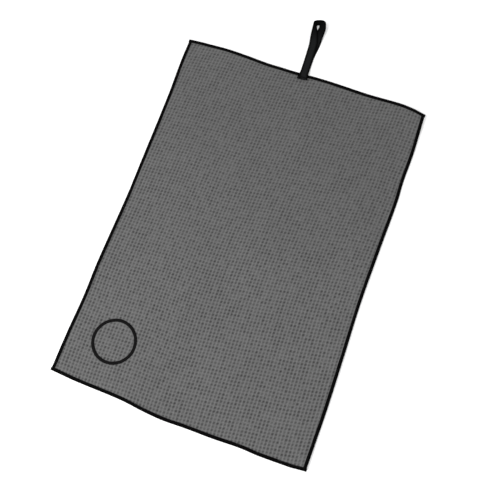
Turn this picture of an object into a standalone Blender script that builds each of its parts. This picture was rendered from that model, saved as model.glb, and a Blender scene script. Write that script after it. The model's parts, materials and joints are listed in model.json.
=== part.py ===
"""A golf towel lying flat: waffle cloth, overlocked edge, embroidered ring and a sewn webbing loop.

X runs across the towel, +Y along it towards the hanging loop and +Z up. The origin is the centre of
the cloth's underside. Every size is in metres. The loop's free part folds about the line where it
leaves the towel's edge, so its two sewn ends are pieces of their own.
"""

import math

import bmesh
import bpy
from mathutils import Matrix, Vector

# Clearance between pieces that touch.
GAP = 0.0003

# The cloth: one knitted waffle sheet whose rim is pressed thin inside the overlocked edge.
TOWEL_WIDTH = 0.406
TOWEL_LENGTH = 0.580
CLOTH_THICKNESS = 0.0020
RIM_THICKNESS = 0.0008

# The overlocked edge: black yarn wrapped round the rim, with a row of needle thread along it.
BORDER_WIDTH = 0.0042
BORDER_WALL = 0.00045
BORDER_TAIL = 0.0020
NEEDLE_THREAD = 0.0005

# The embroidered ring, one band of satin stitch on the face and one of bobbin thread behind it.
EMBLEM_DIAMETER = 0.070
EMBLEM_BAND = 0.0050
EMBLEM_FROM_SIDE = 0.073
EMBLEM_FROM_END = 0.075
SATIN_THICKNESS = 0.0008
SATIN_SUNK = 0.0005
BOBBIN_THICKNESS = 0.0004

# The webbing loop. Reach is measured from the towel's edge to the loop's tip.
STRAP_WIDTH = 0.0140
STRAP_THICKNESS = 0.0013
LOOP_REACH = 0.0925
LOOP_OFFSET = -0.0019
LOOP_LEAN = 0.0061
EYE_WIDTH = 0.0058
EYE_LENGTH = 0.0100
END_LENGTH = 0.0090
END_SPLAY = 0.0021
LEG_DROP = 0.012

# How far the strap's outer rim is banked up round the eye, in degrees: on the front leg's side, where
# it stands on edge at the tip, and on the back leg's side.
FRONT_TILT = 72.0
TIP_TILT = 95.0
BACK_TILT = 38.0

# Where the two legs part, start to bank and cross, in strap widths back from the eye.
PART_BACK = 2.2
BANK_BACK = 1.54
NECK_BACK = 0.79

# The bartacks that hold the loop down, on its face and on the towel's back.
BARTACK_LENGTH = 0.0120
BARTACK_WIDTH = 0.0016
BARTACK_THICKNESS = 0.0004
BARTACK_FROM_END = 0.0016

RING_SEGMENTS = 72
STRAP_SEGMENTS = 88

HALF_WIDTH = TOWEL_WIDTH / 2
HALF_LENGTH = TOWEL_LENGTH / 2
BORDER_THICKNESS = RIM_THICKNESS + 2 * GAP + 2 * BORDER_WALL
RIM_BOTTOM = BORDER_WALL + GAP
RIM_TOP = RIM_BOTTOM + RIM_THICKNESS
CHANNEL_TOP = RIM_TOP + GAP
THREAD_OFFSET = BORDER_WIDTH + GAP
BODY_OFFSET = THREAD_OFFSET + NEEDLE_THREAD + GAP
EMBLEM_CENTRE = (EMBLEM_FROM_SIDE - HALF_WIDTH, EMBLEM_FROM_END - HALF_LENGTH)
END_BOTTOM = max(BORDER_THICKNESS, RIM_TOP + GAP + NEEDLE_THREAD, CLOTH_THICKNESS) + GAP
LAYER_STEP = STRAP_THICKNESS + GAP
UPPER_END_BOTTOM = END_BOTTOM + LAYER_STEP
HINGE_Y = HALF_LENGTH + GAP / 2


def clear_scene():
    """Removes whatever the file holds, so that only the towel is left."""
    for old in list(bpy.data.objects):
        bpy.data.objects.remove(old, do_unlink=True)


def make_material(name, colour, roughness):
    """A plain fabric finish of one colour."""
    made = bpy.data.materials.new(name)
    made.use_nodes = True
    shader = made.node_tree.nodes["Principled BSDF"]
    shader.inputs["Base Color"].default_value = (*colour, 1.0)
    shader.inputs["Roughness"].default_value = roughness
    shader.inputs["Metallic"].default_value = 0.0
    return made


def add_object(name, shape, finish=None):
    """Turns a bmesh into a named object with outward faces."""
    bmesh.ops.recalc_face_normals(shape, faces=shape.faces)
    mesh = bpy.data.meshes.new(name)
    shape.to_mesh(mesh)
    shape.free()
    made = bpy.data.objects.new(name, mesh)
    bpy.context.scene.collection.objects.link(made)
    if finish is not None:
        mesh.materials.append(finish)
    return made


def prism(outline, bottom, top):
    """A closed solid that stands on a plan outline, given as (x, y) points in order."""
    shape = bmesh.new()
    face = shape.faces.new([shape.verts.new((x, y, bottom)) for x, y in outline])
    raised = bmesh.ops.extrude_face_region(shape, geom=[face])
    lifted = [item for item in raised["geom"] if isinstance(item, bmesh.types.BMVert)]
    bmesh.ops.translate(shape, vec=(0, 0, top - bottom), verts=lifted)
    return shape


def block(low, high):
    """A box between two opposite corners."""
    outline = [(low[0], low[1]), (high[0], low[1]), (high[0], high[1]), (low[0], high[1])]
    return prism(outline, low[2], high[2])


def ring(centre, outer_radius, inner_radius, bottom, top):
    """A flat ring with square edges."""
    shape = bmesh.new()
    corners = [(inner_radius, bottom), (outer_radius, bottom), (outer_radius, top), (inner_radius, top)]
    loops = []
    for step in range(RING_SEGMENTS):
        angle = 2 * math.pi * step / RING_SEGMENTS
        x, y = math.cos(angle), math.sin(angle)
        points = [(centre[0] + r * x, centre[1] + r * y, z) for r, z in corners]
        loops.append([shape.verts.new(point) for point in points])
    for here, after in zip(loops, loops[1:] + loops[:1]):
        for side in range(4):
            following = (side + 1) % 4
            shape.faces.new((here[side], after[side], after[following], here[following]))
    return shape


def combine(target, operation, name, shape):
    """Adds a shape to an object or cuts it away, with a helper that doesn't render."""
    helper = add_object(name, shape)
    helper.hide_render = True
    helper.display_type = "WIRE"
    change = target.modifiers.new(name, "BOOLEAN")
    change.operation = operation
    change.object = helper


def emblem_radii(extra):
    """Outer and inner radius of the embroidered ring, widened on both sides by extra."""
    outer = EMBLEM_DIAMETER / 2 + extra
    return outer, outer - EMBLEM_BAND - 2 * extra


def build_cloth(finish):
    """The waffle sheet with its thin rim, and the two shallow rings that the embroidery presses in."""
    rim = BORDER_WALL + GAP
    low = (rim - HALF_WIDTH, rim - HALF_LENGTH, RIM_BOTTOM)
    high = (HALF_WIDTH - rim, HALF_LENGTH - rim, RIM_TOP)
    cloth = add_object("towel_cloth", block(low, high), finish)
    low = (BODY_OFFSET - HALF_WIDTH, BODY_OFFSET - HALF_LENGTH, 0.0)
    high = (HALF_WIDTH - BODY_OFFSET, HALF_LENGTH - BODY_OFFSET, CLOTH_THICKNESS)
    combine(cloth, "UNION", "cloth_body", block(low, high))
    outer, inner = emblem_radii(GAP)
    face_floor = CLOTH_THICKNESS - SATIN_SUNK
    face_groove = ring(EMBLEM_CENTRE, outer, inner, face_floor, 2 * CLOTH_THICKNESS)
    combine(cloth, "DIFFERENCE", "cut_face_groove", face_groove)
    back_groove = ring(EMBLEM_CENTRE, outer, inner, -CLOTH_THICKNESS, BOBBIN_THICKNESS + GAP)
    combine(cloth, "DIFFERENCE", "cut_back_groove", back_groove)
    low, high = bartack_plan(GAP)
    pocket = block((*low, -CLOTH_THICKNESS), (*high, BARTACK_THICKNESS + GAP))
    combine(cloth, "DIFFERENCE", "cut_bartack_pocket", pocket)


def build_end_border(name, side, finish):
    """The overlocked edge across one end. Its thread tails stand out past both corners."""
    outer = side * HALF_LENGTH
    inner = side * (HALF_LENGTH - BORDER_WIDTH)
    half = HALF_WIDTH + BORDER_TAIL
    low = (-half, min(outer, inner), 0.0)
    high = (half, max(outer, inner), BORDER_THICKNESS)
    border = add_object(name, block(low, high), finish)
    slot_outer = side * (HALF_LENGTH - BORDER_WALL)
    slot_inner = side * (HALF_LENGTH - 2 * BORDER_WIDTH)
    half = HALF_WIDTH - BORDER_WALL
    low = (-half, min(slot_outer, slot_inner), BORDER_WALL)
    high = (half, max(slot_outer, slot_inner), CHANNEL_TOP)
    combine(border, "DIFFERENCE", "cut_" + name, block(low, high))


def build_side_border(name, side, finish):
    """The overlocked edge along one side, between the two end borders."""
    outer = side * HALF_WIDTH
    inner = side * (HALF_WIDTH - BORDER_WIDTH)
    half = HALF_LENGTH - BORDER_WIDTH - GAP
    low = (min(outer, inner), -half, 0.0)
    high = (max(outer, inner), half, BORDER_THICKNESS)
    border = add_object(name, block(low, high), finish)
    slot_outer = side * (HALF_WIDTH - BORDER_WALL)
    slot_inner = side * (HALF_WIDTH - 2 * BORDER_WIDTH)
    low = (min(slot_outer, slot_inner), -HALF_LENGTH, BORDER_WALL)
    high = (max(slot_outer, slot_inner), HALF_LENGTH, CHANNEL_TOP)
    combine(border, "DIFFERENCE", "cut_" + name, block(low, high))


def build_end_thread(name, side, finish):
    """The needle thread that lies along the inner side of an end border."""
    near = side * (HALF_LENGTH - THREAD_OFFSET)
    far = near - side * NEEDLE_THREAD
    half = HALF_WIDTH - THREAD_OFFSET
    low = (-half, min(near, far), CHANNEL_TOP)
    high = (half, max(near, far), CHANNEL_TOP + NEEDLE_THREAD)
    add_object(name, block(low, high), finish)


def build_side_thread(name, side, finish):
    """The needle thread that lies along the inner side of a side border."""
    near = side * (HALF_WIDTH - THREAD_OFFSET)
    far = near - side * NEEDLE_THREAD
    half = HALF_LENGTH - THREAD_OFFSET - NEEDLE_THREAD - GAP
    low = (min(near, far), -half, CHANNEL_TOP)
    high = (max(near, far), half, CHANNEL_TOP + NEEDLE_THREAD)
    add_object(name, block(low, high), finish)


def build_emblem(satin, bobbin):
    """The ring of satin stitch on the face and the bobbin thread flush with the back."""
    outer, inner = emblem_radii(0.0)
    bottom = CLOTH_THICKNESS - SATIN_SUNK + GAP
    add_object("emblem_satin", ring(EMBLEM_CENTRE, outer, inner, bottom, bottom + SATIN_THICKNESS), satin)
    add_object("emblem_bobbin", ring(EMBLEM_CENTRE, outer, inner, 0.0, BOBBIN_THICKNESS), bobbin)


def bartack_plan(extra):
    """Low and high plan corners of the bartack, grown on every side by extra."""
    x = LOOP_OFFSET
    y = HALF_LENGTH - END_LENGTH + BARTACK_FROM_END + BARTACK_WIDTH / 2
    half_length = BARTACK_LENGTH / 2 + extra
    half_width = BARTACK_WIDTH / 2 + extra
    return (x - half_length, y - half_width), (x + half_length, y + half_width)


def build_bartacks(finish):
    """The dense stitching over the strap's ends, and its underside sunk in the cloth's back."""
    low, high = bartack_plan(0.0)
    bottom = UPPER_END_BOTTOM + STRAP_THICKNESS + GAP
    add_object("loop_bartack", block((*low, bottom), (*high, bottom + BARTACK_THICKNESS)), finish)
    add_object("loop_bartack_back", block((*low, 0.0), (*high, BARTACK_THICKNESS)), finish)


def build_strap_end(name, bottom, splay, finish):
    """One sewn end of the strap. It leans sideways by splay between the fold line and its cut end."""
    near = HINGE_Y - GAP / 2
    far = HALF_LENGTH - END_LENGTH
    left = LOOP_OFFSET - STRAP_WIDTH / 2
    right = LOOP_OFFSET + STRAP_WIDTH / 2
    outline = [(left + splay, far), (right + splay, far), (right, near), (left, near)]
    add_object(name, prism(outline, bottom, bottom + STRAP_THICKNESS), finish)


def eye_centre():
    """Plan position of the middle of the eye, from the reach of the loop's tip."""
    return LOOP_OFFSET - LOOP_LEAN, HINGE_Y + LOOP_REACH - STRAP_THICKNESS / 2 - EYE_LENGTH / 2


def strap_stations():
    """The strap's inner rim and how it faces, from the front leg's root round the tip to the back leg's.

    Each station is (x, y, lift, facing, tilt): a point of the inner rim in plan, the height of its
    underside, the compass direction from inner to outer rim and how far the outer rim is banked up.
    """
    x, y = eye_centre()
    half_front = EYE_WIDTH / 2 + STRAP_THICKNESS / 2 * math.sin(math.radians(FRONT_TILT))
    half_back = EYE_WIDTH / 2 + STRAP_THICKNESS / 2 * math.sin(math.radians(BACK_TILT))
    half_length = EYE_LENGTH / 2
    root_y = HINGE_Y + GAP / 2
    leg_y = y - half_length - PART_BACK * STRAP_WIDTH
    bank_y = y - half_length - BANK_BACK * STRAP_WIDTH
    neck_y = y - half_length - NECK_BACK * STRAP_WIDTH
    middle_y = (root_y + LEG_DROP + leg_y) / 2
    right = LOOP_OFFSET + STRAP_WIDTH / 2
    left = LOOP_OFFSET - STRAP_WIDTH / 2
    front = [
        (right, root_y, UPPER_END_BOTTOM, 180, 0),
        (right, root_y + 0.2 * LEG_DROP, UPPER_END_BOTTOM - 0.1 * END_BOTTOM, 180, 0),
        (right, root_y + LEG_DROP, LAYER_STEP, 180, 0),
        (right - 0.1 * LOOP_LEAN, middle_y, LAYER_STEP, 181, 0),
        (right - 0.35 * LOOP_LEAN, leg_y, LAYER_STEP, 186, 0),
        (x + 0.62 * STRAP_WIDTH, bank_y, 1.5 * LAYER_STEP, 196, 0.2 * FRONT_TILT),
        (x + 0.33 * STRAP_WIDTH, neck_y, 1.8 * LAYER_STEP, 199, 0.55 * FRONT_TILT),
        (x + 0.05 * STRAP_WIDTH, y - 1.4 * half_length, 1.2 * LAYER_STEP, 194, 0.83 * FRONT_TILT),
        (x - half_front, y, 0.25 * LAYER_STEP, 180, FRONT_TILT),
        (x - 0.75 * half_front, y + 0.75 * half_length, 0.0, 170, 1.05 * FRONT_TILT),
    ]
    tip = [(x, y + half_length, 0.0, 90, TIP_TILT)]
    back = [
        (x + 0.7 * half_back, y + 0.7 * half_length, 0.0, 12, 1.7 * BACK_TILT),
        (x + half_back, y, 0.0, 8, BACK_TILT),
        (x + 0.7 * half_back, y - half_length, 0.0, -5, 0.62 * BACK_TILT),
        (x + 0.03 * STRAP_WIDTH, neck_y, 0.0, -4, 0.3 * BACK_TILT),
        (x, bank_y, 0.0, -2, 0.08 * BACK_TILT),
        (x, leg_y, 0.0, 0, 0),
        (left, middle_y, 0.0, 0, 0),
        (left, root_y + LEG_DROP, 0.0, 0, 0),
        (left, root_y + 0.2 * LEG_DROP, 0.9 * END_BOTTOM, 0, 0),
        (left, root_y, END_BOTTOM, 0, 0),
    ]
    return front + tip + back


def curve_point(points, share):
    """A point at share, 0 to 1, of the smooth Catmull-Rom curve through equally weighted points."""
    position = share * (len(points) - 1)
    index = min(int(position), len(points) - 2)
    t = position - index
    before = points[max(index - 1, 0)]
    start = points[index]
    end = points[index + 1]
    after = points[min(index + 2, len(points) - 1)]
    values = []
    for a, b, c, d in zip(before, start, end, after):
        bend = 2 * a - 5 * b + 4 * c - d
        twist = 3 * b - a - 3 * c + d
        values.append(b + 0.5 * t * (c - a + t * (bend + t * twist)))
    return values


def strap_section(stations, share):
    """Inner and outer mid-thickness points of the strap's cross-section at share of its route."""
    x, y, lift, facing, tilt = curve_point(stations, share)
    lift, tilt = max(lift, 0.0), max(tilt, 0.0)
    facing, tilt = math.radians(facing), math.radians(tilt)
    run, rise = STRAP_WIDTH * math.cos(tilt), STRAP_WIDTH * math.sin(tilt)
    base = lift + STRAP_THICKNESS / 2 * abs(math.cos(tilt))
    inner = Vector((x, y, base))
    outer = Vector((x + run * math.cos(facing), y + run * math.sin(facing), base + rise))
    return inner, outer


def strap_corners(stations, step, face):
    """The four corners of cross-section number step, and the strap's face direction there.

    The root sections stay upright and flat. Elsewhere the face turns on from the last section's.
    """
    share = step / STRAP_SEGMENTS
    inner, outer = strap_section(stations, share)
    normal = Vector((0, 0, 1))
    if 0 < step < STRAP_SEGMENTS:
        ahead = strap_section(stations, share + 0.25 / STRAP_SEGMENTS)
        behind = strap_section(stations, share - 0.25 / STRAP_SEGMENTS)
        along = (ahead[0] + ahead[1]) - (behind[0] + behind[1])
        normal = (outer - inner).cross(along).normalized()
        normal *= math.copysign(1.0, normal.dot(face))
    half = normal * STRAP_THICKNESS / 2
    return [inner - half, outer - half, outer + half, inner + half], normal


def build_hang_loop(finish):
    """The free strap: two stacked legs and a turn round the eye, banked up like a bend in a track."""
    shape = bmesh.new()
    stations = strap_stations()
    rows = []
    face = Vector((0, 0, 1))
    for step in range(STRAP_SEGMENTS + 1):
        corners, face = strap_corners(stations, step, face)
        rows.append([shape.verts.new(corner) for corner in corners])
    for here, after in zip(rows, rows[1:]):
        for side in range(4):
            following = (side + 1) % 4
            shape.faces.new((here[side], after[side], after[following], here[following]))
    shape.faces.new(rows[0])
    shape.faces.new(rows[-1])
    strap = add_object("hang_loop", shape, finish)
    hinge = Vector((LOOP_OFFSET, HINGE_Y, UPPER_END_BOTTOM + STRAP_THICKNESS + GAP))
    strap.data.transform(Matrix.Translation(-hinge))
    strap.location = hinge


def build_towel():
    """Builds every piece."""
    waffle = make_material("waffle_microfibre", (0.136, 0.138, 0.137), 0.95)
    black_yarn = make_material("overlock_yarn", (0.006, 0.006, 0.007), 0.80)
    black_thread = make_material("needle_thread", (0.008, 0.008, 0.009), 0.60)
    black_satin = make_material("satin_thread", (0.010, 0.010, 0.012), 0.45)
    webbing = make_material("webbing", (0.013, 0.014, 0.016), 0.70)
    build_cloth(waffle)
    for end, side in (("top", 1), ("bottom", -1)):
        build_end_border("overlock_" + end, side, black_yarn)
        build_end_thread("needle_thread_" + end, side, black_thread)
    for edge, side in (("right", 1), ("left", -1)):
        build_side_border("overlock_" + edge, side, black_yarn)
        build_side_thread("needle_thread_" + edge, side, black_thread)
    build_emblem(black_satin, black_thread)
    build_strap_end("loop_end_lower", END_BOTTOM, -END_SPLAY, webbing)
    build_strap_end("loop_end_upper", UPPER_END_BOTTOM, END_SPLAY, webbing)
    build_bartacks(black_thread)
    build_hang_loop(webbing)


clear_scene()
build_towel()
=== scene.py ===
"""The golf towel's looks: knitted waffle cloth, overlocked edge, woven loop and embroidered ring.

Everything sewn to the cloth is laid by one function, lay(), which turns a place on the flat cut cloth into
a place on the towel as it lies, with its wavy outline and slight lifts. Sizes are in metres.
"""

import json
import math

import bmesh
import bpy
import numpy as np
from mathutils import Matrix, Vector


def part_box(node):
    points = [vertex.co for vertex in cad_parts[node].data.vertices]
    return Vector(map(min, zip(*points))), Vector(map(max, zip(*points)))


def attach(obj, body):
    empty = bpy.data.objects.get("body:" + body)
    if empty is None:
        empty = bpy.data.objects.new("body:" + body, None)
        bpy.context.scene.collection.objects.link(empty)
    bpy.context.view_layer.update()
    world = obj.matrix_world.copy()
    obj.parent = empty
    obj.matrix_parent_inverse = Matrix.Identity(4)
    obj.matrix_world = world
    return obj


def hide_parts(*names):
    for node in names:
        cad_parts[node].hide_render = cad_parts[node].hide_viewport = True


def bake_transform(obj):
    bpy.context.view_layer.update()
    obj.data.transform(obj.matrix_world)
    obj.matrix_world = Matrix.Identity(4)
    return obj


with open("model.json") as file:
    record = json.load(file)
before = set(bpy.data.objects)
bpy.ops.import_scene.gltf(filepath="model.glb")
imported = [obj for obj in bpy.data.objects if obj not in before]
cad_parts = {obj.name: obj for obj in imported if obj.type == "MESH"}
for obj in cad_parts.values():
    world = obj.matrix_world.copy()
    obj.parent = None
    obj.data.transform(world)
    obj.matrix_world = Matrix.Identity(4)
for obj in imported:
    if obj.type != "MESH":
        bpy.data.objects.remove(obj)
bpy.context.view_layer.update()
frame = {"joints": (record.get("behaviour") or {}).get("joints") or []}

MM = 0.001
TAU = 2 * math.pi

# The cut cloth, from the CAD frame.
HALF_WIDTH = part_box("overlock_right")[1].x
HALF_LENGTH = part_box("overlock_top")[1].y
BORDER_WIDTH = HALF_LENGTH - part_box("overlock_top")[0].y
BORDER_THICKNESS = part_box("overlock_top")[1].z
CLOTH_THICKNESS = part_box("towel_cloth")[1].z

# The waffle: the pitch of its cells, how its rows and columns run off the straight, and its relief.
CELL = 5.36 * MM
STEPS_PER_CELL = 4
ROW_SKEW = 0.133
ROW_BOW = 0.145
COLUMN_SKEW = 0.018
COLUMN_BOW = 0.136
PIT_DEPTH = 1.45 * MM
BACK_PIT_DEPTH = 0.9 * MM
PIT_FULLNESS = 0.65
ROW_SAG = 0.25
PIT_VARIETY = 0.42
RIM_LOW = 0.85 * MM
RIM_HIGH = 1.50 * MM
CUT_INSET = 1.0 * MM
PIT_SEED = 7
LATTICE_ROUNDS = 6
LATTICE_SPARE_ACROSS = 16 * MM
LATTICE_SPARE_ALONG = 36 * MM
UNEVENNESS = 0.25 * MM

# How far the cloth's tone evens out and darkens towards the loop's end, and to what: painted shade for the
# weaker light at that end.
TOP_SHADE_SHARE = 0.21
TOP_SHADE_TONE = 0.46

# How far each edge of the laid towel stands out from its straight line: (place along it, outwards), in
# millimetres.
TOP_WAVE = (
    (-203, -2.1), (-180, -0.3), (-135, 2.0), (-100, 1.3), (-62, -0.5), (-25, 0.7), (-2, 1.5),
    (22, 2.6), (60, 2.5), (105, 1.9), (160, 3.1), (185, 0.1), (203, -3.8),
)
BOTTOM_WAVE = (
    (-203, -1.9), (-165, 0.2), (-105, 0.6), (-80, 1.5), (-52, 4.3), (-20, 6.1), (20, 4.7),
    (60, 4.1), (102, 2.0), (135, 2.6), (180, 0.7), (203, -2.1),
)
LEFT_WAVE = (
    (-290, 0.9), (-240, 0.7), (-170, -2.0), (-115, -1.3), (-50, -2.6), (20, -4.1), (100, -3.4),
    (190, -3.0), (250, -0.7), (290, -1.2),
)
RIGHT_WAVE = (
    (-290, 0.7), (-205, 2.0), (-130, 0.8), (-25, -1.0), (60, 0.6), (140, 2.8), (175, 1.7),
    (225, 2.6), (290, -0.3),
)


def smooth(x):
    """0 below 0, 1 above 1 and smooth between."""
    x = np.clip(x, 0.0, 1.0)
    return x * x * (3 - 2 * x)


def wave(controls, at):
    """A smooth line through (place, height) controls, in millimetres, read at places in metres."""
    places = np.array([place for place, _ in controls]) * MM
    heights = np.array([height for _, height in controls]) * MM
    index = np.clip(np.searchsorted(places, at) - 1, 0, len(places) - 2)
    share = (at - places[index]) / (places[index + 1] - places[index])
    before = heights[np.maximum(index - 1, 0)]
    after = heights[np.minimum(index + 2, len(places) - 1)]
    start, end = heights[index], heights[index + 1]
    share = np.clip(share, -0.2, 1.2)
    bend = 2 * before - 5 * start + 4 * end - after
    twist = 3 * start - before - 3 * end + after
    return start + 0.5 * share * (end - before + share * (bend + share * twist))


# Slight lifts of the cloth off the surface.
EDGE_RIPPLE = 0.9 * MM
RIPPLE_REACH = 70 * MM
CORNER_CURL = 2.2 * MM
CURL_REACH = 55 * MM
FIELD_RIPPLE = 0.35 * MM

# Each corner's side, end and share of the full curl.
CORNERS = ((1, 1, 1.0), (-1, 1, 0.45), (-1, -1, 0.6), (1, -1, 0.8))

# Round the loop's root the cloth stays down: fully within the first distance, and fading over the second.
HELD_DOWN = 14 * MM
HELD_FADE = 35 * MM


def lift(s, t):
    """Height of the towel's underside above the surface. It is nothing where the loop is sewn on."""
    from_edge = np.minimum(HALF_WIDTH - np.abs(s), HALF_LENGTH - np.abs(t))
    near_edge = smooth(1 - from_edge / RIPPLE_REACH)
    around = s * 34 + t * 29 + 1.3 * np.sin(s * 13 - t * 17)
    rim = EDGE_RIPPLE * near_edge * (1 + np.sin(around)) / 2
    slow_across = np.sin(s * 41 + 2 * np.sin(t * 11))
    slow_along = np.sin(t * 33 + 1.7 * np.sin(s * 19))
    field = FIELD_RIPPLE * (2 + slow_across + slow_along)
    curl = 0
    for side, end, share in CORNERS:
        away = np.hypot(s - side * HALF_WIDTH, t - end * HALF_LENGTH)
        curl = curl + share * CORNER_CURL * smooth(1 - away / CURL_REACH)
    free = smooth((np.hypot(s - LOOP_X, 0.6 * (t - HALF_LENGTH)) - HELD_DOWN) / HELD_FADE)
    return (rim + field + curl) * free


def lay(s, t, height):
    """Places of points on the cut cloth, height above its underside, once the towel is laid."""
    across = s / HALF_WIDTH
    along = t / HALF_LENGTH
    x = s + wave(RIGHT_WAVE, t) * (1 + across) / 2 - wave(LEFT_WAVE, t) * (1 - across) / 2
    top = wave(TOP_WAVE, s) * smooth((1 + along) / 2)
    bottom = wave(BOTTOM_WAVE, s) * smooth((1 - along) / 2)
    return np.stack([x, t + top - bottom, lift(s, t) + height], axis=-1)


# The loop, from the CAD frame.
UPPER_LOW, UPPER_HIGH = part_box("loop_end_upper")
LOWER_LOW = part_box("loop_end_lower")[0]
LOOP_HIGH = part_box("hang_loop")[1]
STRAP_WIDTH = 14 * MM
STRAP_THICKNESS = UPPER_HIGH.z - UPPER_LOW.z
END_SPLAY = UPPER_HIGH.x - UPPER_LOW.x - STRAP_WIDTH
LOOP_X = UPPER_LOW.x + STRAP_WIDTH / 2


def new_object(name, points, faces, finish, body=None):
    """A mesh object from arrays of points and faces, riding on a body when one is named."""
    mesh = bpy.data.meshes.new(name)
    mesh.from_pydata(np.asarray(points, float).tolist(), [], [list(face) for face in faces])
    mesh.validate()
    mesh.update()
    mesh.shade_smooth()
    mesh.materials.append(finish)
    made = bpy.data.objects.new(name, mesh)
    bpy.context.scene.collection.objects.link(made)
    if body:
        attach(made, body)
    return made


def swept(sections, end_to_end=False):
    """Points and quads of a closed skin over sections, an array (section, point, xyz)."""
    rows, columns, _ = sections.shape
    numbers = np.arange(rows * columns).reshape(rows, columns)
    here = numbers if end_to_end else numbers[:-1]
    after = np.roll(numbers, -1, axis=0) if end_to_end else numbers[1:]
    quads = np.stack([here, np.roll(here, -1, axis=1), np.roll(after, -1, axis=1), after], axis=-1)
    faces = quads.reshape(-1, 4).tolist()
    if not end_to_end:
        faces.append(numbers[0][::-1].tolist())
        faces.append(numbers[-1].tolist())
    return sections.reshape(-1, 3), faces


def outward(obj):
    """Turns an object's faces outwards."""
    shape = bmesh.new()
    shape.from_mesh(obj.data)
    bmesh.ops.recalc_face_normals(shape, faces=shape.faces)
    shape.to_mesh(obj.data)
    shape.free()
    return obj


# Materials. Each is procedural, with its colour variation, fibre bump and roughness.
def grey(value, warm=0.0):
    """A near-neutral colour."""
    return value * (1 + warm), value, value * (1 - warm)


# Tones from the lowest part of a relief to its highest. The darker low tones are painted shade in the
# hollows: between the turns of thread and down in the waffle pits.
CLOTH_TONES_WITH_PIT_SHADE = ((0.0, grey(0.030)), (0.50, grey(0.096)), (1.0, grey(0.167)))
YARN_TONES_WITH_GAP_SHADE = ((0.0, grey(0.0003)), (1.0, grey(0.0032)))
SEWING_TONES_WITH_GAP_SHADE = ((0.0, grey(0.0008)), (1.0, grey(0.0060)))
SATIN_TONES_WITH_GAP_SHADE = ((0.0, grey(0.0015)), (1.0, grey(0.0085)))
WEBBING_TONES_WITH_SHADE = ((0.0, grey(0.0006, -0.04)), (0.45, grey(0.0060, -0.04)), (1.0, grey(0.0200, -0.05)))

# The cloth's mottling, from single fibres to slow patches: (scale, detail, darkest).
MELANGE = ((2200, 3.0, 0.72), (420, 1.0, 0.80), (9, 2.0, 0.95))
FIBRE_SCALE = 2200
CLOTH_BUMP = 0.40 * MM
THREAD_BUMP = 0.12 * MM
THREAD_SPECULAR = 0.02
THREAD_DARKEST = 0.70


def new_material(name, roughness, sheen=0.0, specular=0.3):
    """A Principled material with its shared numbers set, and its node tree."""
    made = bpy.data.materials.new(name)
    made.use_nodes = True
    shader = made.node_tree.nodes["Principled BSDF"]
    shader.inputs["Roughness"].default_value = roughness
    shader.inputs["Specular IOR Level"].default_value = specular
    shader.inputs["Sheen Weight"].default_value = sheen
    shader.inputs["Sheen Roughness"].default_value = 0.5
    return made, made.node_tree, shader


def object_noise(tree, scale, detail=3.0):
    """Noise over the object's own coordinates."""
    place = tree.nodes.new("ShaderNodeTexCoord")
    noise = tree.nodes.new("ShaderNodeTexNoise")
    noise.inputs["Scale"].default_value = scale
    noise.inputs["Detail"].default_value = detail
    tree.links.new(place.outputs["Object"], noise.inputs["Vector"])
    return noise.outputs["Fac"]


def ramp(tree, source, stops):
    """A colour ramp read by source. Stops are (place, colour)."""
    made = tree.nodes.new("ShaderNodeValToRGB")
    elements = made.color_ramp.elements
    elements[0].position, elements[0].color = stops[0][0], (*stops[0][1], 1)
    elements[1].position, elements[1].color = stops[-1][0], (*stops[-1][1], 1)
    for place, colour in stops[1:-1]:
        elements.new(place).color = (*colour, 1)
    tree.links.new(source, made.inputs["Fac"])
    return made.outputs["Color"]


def multiplied(tree, first, second):
    """One colour multiplied by another."""
    mix = tree.nodes.new("ShaderNodeMix")
    mix.data_type = "RGBA"
    mix.blend_type = "MULTIPLY"
    mix.inputs["Factor"].default_value = 1.0
    tree.links.new(first, mix.inputs["A"])
    tree.links.new(second, mix.inputs["B"])
    return mix.outputs["Result"]


def add_bump(tree, shader, height, strength, distance):
    """Fine relief from a height signal."""
    bump = tree.nodes.new("ShaderNodeBump")
    bump.inputs["Strength"].default_value = strength
    bump.inputs["Distance"].default_value = distance
    tree.links.new(height, bump.inputs["Height"])
    tree.links.new(bump.outputs["Normal"], shader.inputs["Normal"])


def attribute_tone(tree, name, tones):
    """A tone read from a value that the mesh carries at each point."""
    carried = tree.nodes.new("ShaderNodeAttribute")
    carried.attribute_name = name
    return ramp(tree, carried.outputs["Fac"], tones)


def noise_tone(tree, scale, detail, darkest):
    """A multiplier that wanders between darkest and 1."""
    return ramp(tree, object_noise(tree, scale, detail), ((0.30, grey(darkest)), (0.70, grey(1.0))))


def waffle_material():
    """Grey melange microfibre, with painted shade that makes it darker down in the pits than on the ridges.
    """
    made, tree, shader = new_material("waffle_microfibre", 0.92, sheen=0.05, specular=0.10)
    toned = attribute_tone(tree, "ridge", CLOTH_TONES_WITH_PIT_SHADE)
    for scale, detail, darkest in MELANGE:
        toned = multiplied(tree, toned, noise_tone(tree, scale, detail, darkest))
    tree.links.new(toned, shader.inputs["Base Color"])
    add_bump(tree, shader, object_noise(tree, FIBRE_SCALE, 4.0), 0.8, CLOTH_BUMP)
    return made


def thread_material(name, tones, roughness, scale):
    """Black yarn, with painted shade that makes it darker between its turns than on them, and fine
    filaments.
    """
    made, tree, shader = new_material(name, roughness, specular=THREAD_SPECULAR)
    turns = attribute_tone(tree, "raised", tones)
    toned = multiplied(tree, turns, noise_tone(tree, scale, 3.0, THREAD_DARKEST))
    tree.links.new(toned, shader.inputs["Base Color"])
    add_bump(tree, shader, object_noise(tree, scale), 0.5, THREAD_BUMP)
    return made


def mark(obj, name, values):
    """Stores a value at each of an object's points, for its material to read."""
    attribute = obj.data.attributes.new(name, "FLOAT", "POINT")
    attribute.data.foreach_set("value", np.asarray(values, np.float32).ravel())


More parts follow.
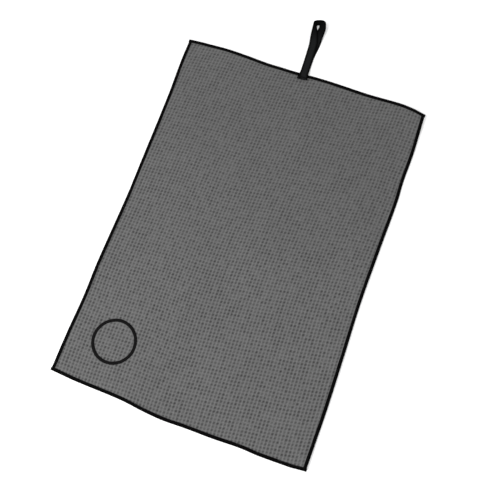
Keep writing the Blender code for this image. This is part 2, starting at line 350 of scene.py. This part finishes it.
# The cloth.
def lattice():
    """Cut-cloth places (s, t) of a grid whose lines follow the waffle's rows and columns."""
    step = CELL / STEPS_PER_CELL
    across = int((HALF_WIDTH + LATTICE_SPARE_ACROSS) / step)
    along = int((HALF_LENGTH + LATTICE_SPARE_ALONG) / step)
    columns = np.arange(-across, across + 1)
    rows = np.arange(-along, along + 1)
    column, row = np.meshgrid(columns, rows, indexing="ij")
    s = column * step
    t = row * step
    for _ in range(LATTICE_ROUNDS):
        s, t = (
            column * step + COLUMN_SKEW * t + COLUMN_BOW * t * t,
            row * step + ROW_SKEW * s + ROW_BOW * s * s,
        )
    return column, row, s, t


def cell_pit(column, row):
    """1 in the middle of a deep waffle pit and 0 on the lengthwise ridges. Cross ridges sag between them."""
    across = (0.5 - 0.5 * np.cos(TAU * column / STEPS_PER_CELL)) ** PIT_FULLNESS
    along = (0.5 - 0.5 * np.cos(TAU * row / STEPS_PER_CELL)) ** PIT_FULLNESS
    cell_column = column // STEPS_PER_CELL
    cell_row = row // STEPS_PER_CELL
    cells = (np.ptp(cell_column) + 1, np.ptp(cell_row) + 1)
    chance = np.random.default_rng(PIT_SEED).random(cells)
    depth = 1 - PIT_VARIETY * chance[cell_column - cell_column.min(), cell_row - cell_row.min()]
    return depth * across * (ROW_SAG + (1 - ROW_SAG) * along)


# Where the embroidery lies, and how it presses the cloth.
EMBLEM_LOW, EMBLEM_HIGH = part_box("emblem_satin")
EMBLEM_X = (EMBLEM_LOW.x + EMBLEM_HIGH.x) / 2
EMBLEM_Y = (EMBLEM_LOW.y + EMBLEM_HIGH.y) / 2
EMBLEM_RADIUS = (EMBLEM_HIGH.x - EMBLEM_LOW.x) / 2
EMBLEM_BAND = 5.0 * MM
PRESSED_FACE = 1.35 * MM
PRESSED_BACK = 0.5 * MM
PRESSED_FADE = 1.6 * MM


def under_emblem(s, t):
    """1 where the embroidery presses the cloth flat and 0 away from it."""
    away = np.abs(np.hypot(s - EMBLEM_X, t - EMBLEM_Y) - (EMBLEM_RADIUS - EMBLEM_BAND / 2))
    return smooth(1 - (away - EMBLEM_BAND / 2) / PRESSED_FADE)


def uneven(s, t):
    """A slow, small unevenness of the knit, from 0 to 1."""
    across = np.sin(s * 310 + 3 * np.sin(t * 47))
    along = np.sin(t * 270 + 4 * np.sin(s * 39))
    return 0.5 + 0.25 * across + 0.25 * along


def ridge_tone_with_top_shade(height, t):
    """Tone of the relief, which evens out and darkens a little towards the loop's end: painted shade for the
    weaker light there.
    """
    # Painted shade: towards the loop's end the tone is drawn to a darker, even tone.
    top_shade = TOP_SHADE_SHARE * smooth((t + 0.4 * HALF_LENGTH) / (1.2 * HALF_LENGTH))
    return height + (TOP_SHADE_TONE - height) * top_shade


def cloth_grid():
    """The lattice's points on the cut cloth, as column, row, s and t, and the quads between them."""
    column, row, s, t = lattice()
    inside = (np.abs(s) < HALF_WIDTH - CUT_INSET) & (np.abs(t) < HALF_LENGTH - CUT_INSET)
    whole = inside[:-1, :-1] & inside[1:, :-1] & inside[1:, 1:] & inside[:-1, 1:]
    numbers = np.arange(s.size).reshape(s.shape)
    corners = (numbers[:-1, :-1], numbers[1:, :-1], numbers[1:, 1:], numbers[:-1, 1:])
    quads = np.stack([corner[whole] for corner in corners], axis=-1)
    used, quads = np.unique(quads, return_inverse=True)
    points = [values.ravel()[used] for values in (column, row, s, t)]
    return points, quads.reshape(-1, 4)


def closed_sheet(quads, count):
    """Faces of a closed sheet: its face, its back, numbered count further on, and its cut rim."""
    edges = np.concatenate([quads[:, [i, (i + 1) % 4]] for i in range(4)])
    keys = np.sort(edges, axis=1) @ np.array([count, 1])
    _, index, uses = np.unique(keys, return_index=True, return_counts=True)
    rim = edges[index[uses == 1]]
    walls = np.stack([rim[:, 1], rim[:, 0], rim[:, 0] + count, rim[:, 1] + count], axis=-1)
    return np.concatenate([quads, quads[:, ::-1] + count, walls])


def build_cloth():
    """The waffle sheet, with relief on its face and its back and a thin rim inside the border."""
    (column, row, s, t), quads = cloth_grid()
    count = len(s)
    from_edge = np.minimum(HALF_WIDTH - np.abs(s), HALF_LENGTH - np.abs(t))
    full = smooth((from_edge - 0.75 * BORDER_WIDTH) / (0.9 * BORDER_WIDTH))
    sewn = under_emblem(s, t)
    pit = cell_pit(column, row)
    face = CLOTH_THICKNESS - PIT_DEPTH * pit - UNEVENNESS * uneven(s, t)
    face = face * (1 - sewn) + PRESSED_FACE * sewn
    face = RIM_HIGH + (face - RIM_HIGH) * full
    back_pit = cell_pit(column + STEPS_PER_CELL // 2, row + STEPS_PER_CELL // 2)
    back = BACK_PIT_DEPTH * back_pit * (1 - sewn) + PRESSED_BACK * sewn
    back = RIM_LOW + (back - RIM_LOW) * full
    points = np.concatenate([lay(s, t, face), lay(s, t, back)])
    faces = closed_sheet(quads, count).tolist()
    cloth = new_object("waffle_cloth", points, faces, waffle_material(), "towel")
    ridge = np.concatenate([ridge_tone_with_top_shade(1 - pit * full, t), ridge_tone_with_top_shade(1 - back_pit * full, t)])
    mark(cloth, "ridge", ridge)
    add_plan_uv(cloth, np.concatenate([s, s]), np.concatenate([t, t]), count)
    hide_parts("towel_cloth")
    return cloth


def add_plan_uv(obj, s, t, face_count):
    """A flat UV layout: the face in the left half and the back, with the rim, in the right half."""
    room = 2.1 * max(HALF_WIDTH * 2, HALF_LENGTH)
    u = (s + HALF_WIDTH) / room
    u[face_count:] += 0.5
    v = (t + HALF_LENGTH) / room
    corner_points = np.zeros(len(obj.data.loops), np.int32)
    obj.data.loops.foreach_get("vertex_index", corner_points)
    layer = obj.data.uv_layers.new(name="OFBake")
    places = np.stack([u[corner_points], v[corner_points]], axis=-1).astype(np.float32)
    layer.data.foreach_set("uv", places.ravel())


# The overlocked edge.
STITCH_PITCH = 0.95 * MM
STITCH_RELIEF = 0.22 * MM
STITCH_SLANT = 0.35
TAIL = 1.0 * MM
COVER = BORDER_WIDTH + 0.8 * MM
OVERHANG = 0.22 * MM
YARN_WANDER = 0.22 * MM
SAMPLES_PER_STITCH = 4

# Each edge's side of the towel, and whether it runs lengthwise.
EDGES = {"top": (1, False), "bottom": (-1, False), "right": (1, True), "left": (-1, True)}


def edge_frame(edge, along, inward):
    """Cut-cloth places at distance along an edge and inward from its outer line."""
    side, lengthwise = EDGES[edge]
    if lengthwise:
        return side * (HALF_WIDTH - inward), along
    return along, side * (HALF_LENGTH - inward)


def border_reach(edge):
    """Half the length of an edge's border. The end borders run out into short thread tails."""
    lengthwise = EDGES[edge][1]
    return HALF_LENGTH - BORDER_WIDTH * 0.8 if lengthwise else HALF_WIDTH + TAIL


def build_border(edge, finish):
    """One run of overlock: a rounded rim of slanting yarns that wraps the cloth's edge."""
    reach = border_reach(edge)
    stitches = int(2 * reach / STITCH_PITCH)
    along = np.linspace(-reach, reach, stitches * SAMPLES_PER_STITCH + 1)
    turn = np.linspace(0, TAU, 18, endpoint=False)
    across = 0.5 - 0.5 * np.sign(np.cos(turn)) * np.abs(np.cos(turn)) ** 0.75
    rise = np.sign(np.sin(turn)) * np.abs(np.sin(turn)) ** 0.7
    distance, inward = np.meshgrid(along, across, indexing="ij")
    yarn = np.abs(np.sin(math.pi * (distance / STITCH_PITCH + STITCH_SLANT * 4 * inward)))
    wander = YARN_WANDER * np.sin(distance * 130 + 2 * np.sin(distance * 51)) * inward
    crown = (BORDER_THICKNESS / 2 - STITCH_RELIEF * (1 - yarn)) * rise
    taper = smooth((reach - np.abs(distance)) / (3 * TAIL)) * 0.6 + 0.4
    depth = COVER * inward - OVERHANG + STITCH_RELIEF * (1 - yarn) * (1 - inward) + wander
    s, t = edge_frame(edge, distance, depth)
    sections = lay(s, t, BORDER_THICKNESS / 2 + crown * taper)
    points, faces = swept(sections)
    border = outward(new_object("overlock_edge_" + edge, points, faces, finish, "towel"))
    mark(border, "raised", yarn)
    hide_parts("overlock_" + edge)
    return border


# The needle thread: a row of short sunk stitches just inside each border.
NEEDLE_STITCH = 2.9 * MM
NEEDLE_RADIUS = 0.30 * MM
NEEDLE_DIP = 0.25 * MM


def build_needle_row(edge, finish):
    """One row of lockstitches that dip into the cloth between one and the next."""
    lengthwise = EDGES[edge][1]
    reach = (HALF_LENGTH if lengthwise else HALF_WIDTH) - 1.1 * BORDER_WIDTH
    stitches = int(2 * reach / NEEDLE_STITCH)
    along = np.linspace(-reach, reach, stitches * 6 + 1)
    turn = np.linspace(0, TAU, 6, endpoint=False)
    distance, angle = np.meshgrid(along, turn, indexing="ij")
    bulge = np.abs(np.sin(math.pi * (distance + reach) / NEEDLE_STITCH)) ** 0.5
    inward = COVER + NEEDLE_RADIUS * np.cos(angle) * (0.5 + 0.5 * bulge)
    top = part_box("needle_thread_" + edge)[1].z
    height = top - NEEDLE_RADIUS - NEEDLE_DIP * (1 - bulge) + NEEDLE_RADIUS * np.sin(angle)
    s, t = edge_frame(edge, distance, inward)
    points, faces = swept(lay(s, t, height))
    row = outward(new_object("needle_row_" + edge, points, faces, finish, "towel"))
    mark(row, "raised", bulge)
    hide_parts("needle_thread_" + edge)
    return row


# The embroidered ring.
SATIN_PITCH = 0.42 * MM
SATIN_RELIEF = 0.10 * MM
SATIN_INSET = 0.12 * MM
SATIN_FANNING = 0.02

# Each ring's underside and the height of its crown over that.
SATIN_BOTTOM = 1.40 * MM
SATIN_CROWN = 1.20 * MM
BOBBIN_BOTTOM = 0.02 * MM
BOBBIN_CROWN = 0.40 * MM


def build_satin_ring(name, node, bottom, crown, finish):
    """A band of threads laid side by side across the ring, domed over its middle."""
    middle = EMBLEM_RADIUS - EMBLEM_BAND / 2
    threads = int(TAU * middle / SATIN_PITCH)
    bearing = np.linspace(0, TAU, threads * 4, endpoint=False)
    turn = np.linspace(0, TAU, 16, endpoint=False)
    angle, round_section = np.meshgrid(bearing, turn, indexing="ij")
    thread = np.abs(np.sin(angle * threads / 2))
    ragged = 0.12 * MM * np.sin(angle * 61 + 3 * np.sin(angle * 17))
    ragged = ragged + 0.08 * MM * np.sin(angle * 171)
    reach = np.sign(np.cos(round_section)) * np.abs(np.cos(round_section)) ** 0.7
    radius = middle + reach * (EMBLEM_BAND / 2 - SATIN_INSET + ragged * np.sign(reach))
    rise = np.sin(round_section)
    height = bottom + crown * np.where(rise > 0, 0.35 + 0.65 * rise, 0.35 + 0.35 * rise)
    height = height - SATIN_RELIEF * (1 - thread) * (rise > 0)
    s = EMBLEM_X + radius * np.cos(angle + SATIN_FANNING * reach)
    t = EMBLEM_Y + radius * np.sin(angle + SATIN_FANNING * reach)
    points, faces = swept(lay(s, t, height), end_to_end=True)
    band_of_thread = outward(new_object(name, points, faces, finish, "towel"))
    mark(band_of_thread, "raised", thread)
    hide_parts(node)
    return band_of_thread


# The hanging loop: one woven tape from its upper sewn end, round the eye and back to its lower one.
LOOP_REACH = 93.0 * MM
LOOP_LEAN = 6.1 * MM
LEG_SWAY = 0.8 * MM
EYE_WIDTH = 3.0 * MM
EYE_LENGTH = 8.0 * MM
FRONT_TILT = 66.0
TIP_TILT = 88.0
BACK_TILT = 32.0
LEG_DROP = 12 * MM
HINGE = Vector(frame["joints"][0]["pos_m"])

# Where the two legs part, start to bank and cross, in strap widths back from the eye.
PART_BACK = 2.2
BANK_BACK = 1.54
NECK_BACK = 0.79

# The weave: picks across the tape, warp ribs along it, and painted shade that darkens the tone towards the
# rims and the tip.
SPINE_SAMPLES = 4000
WEAVE_STEP = 0.36 * MM
PICK_PITCH = 1.25 * MM
WARP_COUNT = 9
STEPS_PER_WARP = 4
WEAVE_RELIEF = 0.10 * MM
RIM_SHADE_MARGIN = 0.65
TIP_PAINTED_SHADE = 0.55
TIP_PAINTED_SHADE_REACH = 40 * MM


def eye_centre():
    """Plan position of the middle of the eye, from the reach of the loop's tip."""
    return LOOP_X - LOOP_LEAN, HINGE.y + LOOP_REACH - STRAP_THICKNESS / 2 - EYE_LENGTH / 2


def strap_stations():
    """Inner rim, lift, facing and tilt along the tape, laid as the CAD's is, with the two sewn ends added.

    A station is (x, y, lift, facing, tilt): a point of the inner rim in plan, the height of its
    underside, the direction from inner to outer rim and how far the outer rim is banked up, in degrees.
    """
    x, y = eye_centre()
    half_front = EYE_WIDTH / 2 + STRAP_THICKNESS / 2 * math.sin(math.radians(FRONT_TILT))
    half_back = EYE_WIDTH / 2 + STRAP_THICKNESS / 2 * math.sin(math.radians(BACK_TILT))
    half_length = EYE_LENGTH / 2
    layer = UPPER_LOW.z - LOWER_LOW.z
    root = HINGE.y
    leg_y = y - half_length - PART_BACK * STRAP_WIDTH
    bank_y = y - half_length - BANK_BACK * STRAP_WIDTH
    neck_y = y - half_length - NECK_BACK * STRAP_WIDTH
    middle_y = (root + LEG_DROP + leg_y) / 2
    left, right = LOOP_X - STRAP_WIDTH / 2, LOOP_X + STRAP_WIDTH / 2
    upper_end = [
        (right + END_SPLAY, UPPER_LOW.y, UPPER_LOW.z, 180, 0),
        (right + END_SPLAY / 2, (UPPER_LOW.y + root) / 2, UPPER_LOW.z, 180, 0),
    ]
    front = [
        (right, root, UPPER_LOW.z, 180, 0),
        (right, root + 0.3 * LEG_DROP, 0.80 * UPPER_LOW.z, 180, 0),
        (right - 0.5 * LEG_SWAY, root + LEG_DROP, layer, 180, 0),
        (right - 0.1 * LOOP_LEAN - LEG_SWAY, middle_y, layer, 181, 0.01 * FRONT_TILT),
        (right - 0.35 * LOOP_LEAN - 0.8 * LEG_SWAY, leg_y, layer, 187, 0.06 * FRONT_TILT),
        (x + 0.62 * STRAP_WIDTH, bank_y, 1.5 * layer, 196, 0.2 * FRONT_TILT),
        (x + 0.33 * STRAP_WIDTH, neck_y, 1.8 * layer, 199, 0.55 * FRONT_TILT),
        (x + 0.05 * STRAP_WIDTH, y - 1.4 * half_length, 1.2 * layer, 194, 0.83 * FRONT_TILT),
        (x - half_front, y, 0.25 * layer, 180, FRONT_TILT),
        (x - 0.75 * half_front, y + 0.75 * half_length, 0.0, 195, 1.05 * FRONT_TILT),
    ]
    back = [
        (x, y + half_length, 0.0, 90, TIP_TILT),
        (x + 0.75 * half_back, y + 0.75 * half_length, 0.0, 24, 1.55 * BACK_TILT),
        (x + half_back, y, 0.0, 3, 1.1 * BACK_TILT),
        (x + 0.7 * half_back, y - half_length, 0.0, -5, 0.62 * BACK_TILT),
        (x + 0.03 * STRAP_WIDTH, neck_y, 0.0, -4, 0.3 * BACK_TILT),
        (x + 0.03 * STRAP_WIDTH, bank_y, 0.0, -2, 0.08 * BACK_TILT),
        (x + 0.1 * LEG_SWAY, leg_y, 0.0, 0, 0),
        (left - LEG_SWAY, middle_y, 0.0, 0, 0),
        (left - 0.5 * LEG_SWAY, root + LEG_DROP, 0.0, 0, 0),
        (left, root + 0.3 * LEG_DROP, 0.75 * LOWER_LOW.z, 0, 0),
        (left, root, LOWER_LOW.z, 0, 0),
    ]
    lower_end = [
        (left - END_SPLAY / 2, (LOWER_LOW.y + root) / 2, LOWER_LOW.z, 0, 0),
        (left - END_SPLAY, LOWER_LOW.y, LOWER_LOW.z, 0, 0),
    ]
    return np.array(upper_end + front + back + lower_end)


def through(stations, position):
    """Rows of the Catmull-Rom curve through stations, read at positions counted in stations."""
    last = len(stations) - 1
    index = np.clip(position.astype(int), 0, last - 1)
    t = (position - index)[:, None]
    a, b = stations[np.maximum(index - 1, 0)], stations[index]
    c, d = stations[index + 1], stations[np.minimum(index + 2, last)]
    bend = 2 * a - 5 * b + 4 * c - d
    twist = 3 * b - a - 3 * c + d
    return b + 0.5 * t * (c - a + t * (bend + t * twist))


def strap_rims(position):
    """Inner and outer mid-thickness rim points at positions along the stations."""
    stations = strap_stations()
    facing, tilt = np.radians(stations[:, 3:]).T
    flat = np.cos(tilt)
    reach = np.stack([flat * np.cos(facing), flat * np.sin(facing), np.sin(tilt)], axis=-1)
    rows = through(np.concatenate([stations[:, :3], reach], axis=1), position)
    reach = rows[:, 3:]
    reach[:, 2] = np.maximum(reach[:, 2], 0.0)
    reach /= np.linalg.norm(reach, axis=1)[:, None]
    inner = rows[:, :3]
    half_rise = STRAP_THICKNESS / 2 * np.hypot(reach[:, 0], reach[:, 1])
    inner[:, 2] = np.maximum(inner[:, 2], 0.0) + half_rise
    return inner, inner + reach * STRAP_WIDTH


def strap_spine():
    """Length travelled, and the inner and outer rim there, at even steps along the tape."""
    fine = np.linspace(0, len(strap_stations()) - 1, SPINE_SAMPLES)
    inner, outer = strap_rims(fine)
    middle = (inner + outer) / 2
    steps = np.linalg.norm(np.diff(middle, axis=0), axis=1)
    travelled = np.concatenate([[0], np.cumsum(steps)])
    distance = np.linspace(0, travelled[-1], int(travelled[-1] / WEAVE_STEP))
    inner, outer = strap_rims(np.interp(distance, travelled, fine))
    return distance, inner, outer


def tape_section():
    """Places round the tape's section: the share of the way across, and 1 above or -1 below."""
    top = np.linspace(0, 1, STEPS_PER_WARP * WARP_COUNT + 1)
    share = np.concatenate([top, top[-2:0:-1]])
    side = np.concatenate([np.ones(len(top)), -np.ones(len(top) - 2)])
    return share, side


def weave(distance, share):
    """Relief of the weave, and a tone for each place along the tape and round its section: lighter where it
    stands out, with painted shade towards the rims.
    """
    selvage = smooth((np.abs(2 * share - 1) - 0.80) / 0.08)
    warp = np.abs(np.cos(math.pi * share * WARP_COUNT)) ** 0.7
    slant = np.where(np.floor(share * WARP_COUNT).astype(int) % 2 == 0, 0.5, -0.5)
    turns = distance[:, None] / PICK_PITCH + slant[None, :] * share * WARP_COUNT
    pick = np.abs(np.sin(math.pi * turns))
    ribs = pick * (1 - 0.6 * selvage) + 0.7 * (1 - warp) * (1 - selvage) + 0.8 * selvage
    # Painted shade: the tape's tone darkens towards its rolled rims, and between its picks and warp ribs.
    clear_of_rim_shade = smooth((1 - np.abs(2 * share - 1)) / RIM_SHADE_MARGIN)
    raised = clear_of_rim_shade * (0.35 + 0.65 * pick) * (0.6 + 0.4 * warp)
    return WEAVE_RELIEF * ribs, raised


def build_strap(finish):
    """The woven tape, with picks across it, warp ribs along it and a firm selvage on each side."""
    distance, inner, outer = strap_spine()
    share, side = tape_section()
    relief, raised = weave(distance, share)
    normal = np.cross(np.gradient((inner + outer) / 2, axis=0), outer - inner)
    normal /= np.linalg.norm(normal, axis=1)[:, None]
    fullness = (1 - np.abs(2 * share - 1) ** 14) ** 0.5
    height = side * fullness * (STRAP_THICKNESS / 2 - 1.7 * WEAVE_RELIEF + relief)
    across = (outer - inner)[:, None, :] * share[None, :, None]
    sections = inner[:, None, :] + across + normal[:, None, :] * height[:, :, None]
    points, faces = swept(sections)
    strap = outward(new_object("woven_strap", points, faces, finish))
    # Painted shade: the tape darkens towards its tip, where the banked walls face inwards and get less
    # light.
    near_tip = smooth(1 - (LOOP_HIGH.y - (inner + outer)[:, 1:2] / 2) / TIP_PAINTED_SHADE_REACH)
    mark(strap, "raised", raised * (1 - TIP_PAINTED_SHADE * near_tip))
    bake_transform(strap)
    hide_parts("hang_loop", "loop_end_upper", "loop_end_lower")


# The bartacks.
TACK_PITCH = 0.40 * MM
TACK_TAPER = 0.6 * MM
TACK_WANDER = 0.14 * MM
TACK_BULGE = 0.15 * MM
TACK_RELIEF = 0.08 * MM


def build_bartack(name, node, finish):
    """A short bar of close zigzag stitches across the tape."""
    low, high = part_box(node)
    stitches = int((high.x - low.x) / TACK_PITCH)
    along = np.linspace(low.x, high.x, stitches * 4 + 1)
    turn = np.linspace(0, TAU, 12, endpoint=False)
    x, angle = np.meshgrid(along, turn, indexing="ij")
    thread = np.abs(np.sin(math.pi * (x - low.x) / TACK_PITCH))
    end = smooth(np.minimum(x - low.x, high.x - x) / TACK_TAPER) * 0.5 + 0.5
    wander = TACK_WANDER * np.sin((x - low.x) * 5200)
    half_width = (high.y - low.y) / 2
    middle = (high.y + low.y) / 2
    y = middle + np.cos(angle) * (half_width - TACK_BULGE * (1 - thread)) * end + wander
    base = (high.z + low.z) / 2
    reach = (high.z - low.z) / 2
    z = base + np.sin(angle) * (reach - TACK_RELIEF * (1 - thread)) * end
    points, faces = swept(np.stack([x, y, z], axis=-1))
    tack = outward(new_object(name, points, faces, finish, "towel"))
    mark(tack, "raised", thread)
    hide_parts(node)
    return tack


# The stage.
CAMERA_PLACE = Vector((0.0938, -0.1222, 0.7851))
CAMERA_AIM = Vector((0.0161, -0.0120, 0.0))
CAMERA_UP = Vector((-0.3360, 0.9276, 0.1635))
CAMERA_LENS = 36.9
FLOOR_SIZE = 6.0
FLOOR_DROP = 0.1 * MM
FLOOR_TONES = ((0.0, grey(0.955)), (1.0, grey(0.965)))
WORLD_STRENGTH = 0.95

# Each light's place, size and power.
KEY_LIGHT = ((-0.8, -0.8, 1.1), 1.6, 26.0)
FILL_LIGHT = ((-1.2, 1.1, 1.6), 1.4, 1.5)


def build_floor():
    """A plain white floor."""
    half = FLOOR_SIZE / 2
    corners = [(-half, -half), (half, -half), (half, half), (-half, half)]
    made, tree, shader = new_material("floor_white", 0.9, specular=0.1)
    tone = ramp(tree, object_noise(tree, 3.0), FLOOR_TONES)
    tree.links.new(tone, shader.inputs["Base Color"])
    floor = new_object("floor", [(x, y, -FLOOR_DROP) for x, y in corners], [(0, 1, 2, 3)], made)


def add_light(name, place, size, power):
    """A soft square light that faces the middle of the towel."""
    data = bpy.data.lights.new(name, "AREA")
    data.size = size
    data.energy = power
    light = bpy.data.objects.new(name, data)
    light.location = place
    light.rotation_mode = "QUATERNION"
    light.rotation_quaternion = (-Vector(place)).to_track_quat("-Z", "Y")
    bpy.context.scene.collection.objects.link(light)


def build_lights():
    """Even studio light from all round, a little stronger from the lower left."""
    world = bpy.data.worlds.new("studio")
    world.use_nodes = True
    background = world.node_tree.nodes["Background"]
    background.inputs["Color"].default_value = (1.0, 1.0, 1.0, 1.0)
    background.inputs["Strength"].default_value = WORLD_STRENGTH
    bpy.context.scene.world = world
    add_light("key", *KEY_LIGHT)
    add_light("fill", *FILL_LIGHT)


def build_camera():
    """The camera at the photograph's viewing angle."""
    data = bpy.data.cameras.new("camera")
    data.lens = CAMERA_LENS
    data.clip_start = 0.01
    camera = bpy.data.objects.new("camera", data)
    bpy.context.scene.collection.objects.link(camera)
    back = (CAMERA_PLACE - CAMERA_AIM).normalized()
    right = CAMERA_UP.cross(back).normalized()
    up = back.cross(right)
    turn = Matrix((right, up, back)).transposed()
    camera.matrix_world = Matrix.Translation(CAMERA_PLACE) @ turn.to_4x4()
    bpy.context.scene.camera = camera


def build_towel():
    """Every visible piece of the towel."""
    yarn = thread_material("overlock_yarn", YARN_TONES_WITH_GAP_SHADE, 0.85, 2400)
    thread = thread_material("sewing_thread", SEWING_TONES_WITH_GAP_SHADE, 0.60, 3000)
    satin = thread_material("satin_thread", SATIN_TONES_WITH_GAP_SHADE, 0.50, 2600)
    webbing = thread_material("webbing", WEBBING_TONES_WITH_SHADE, 0.75, 2000)
    cloth = build_cloth()
    borders = [build_border(edge, yarn) for edge in EDGES]
    rows = [build_needle_row(edge, thread) for edge in EDGES]
    face_ring = build_satin_ring(
        "emblem_ring", "emblem_satin", SATIN_BOTTOM, SATIN_CROWN, satin
    )
    back_ring = build_satin_ring(
        "emblem_bobbin_ring", "emblem_bobbin", BOBBIN_BOTTOM, BOBBIN_CROWN, thread
    )
    build_strap(webbing)
    tacks = [
        build_bartack("bartack", "loop_bartack", thread),
        build_bartack("bartack_back", "loop_bartack_back", thread),
    ]


build_towel()
build_floor()
build_lights()
build_camera()
bpy.context.scene.view_settings.view_transform = "Standard"
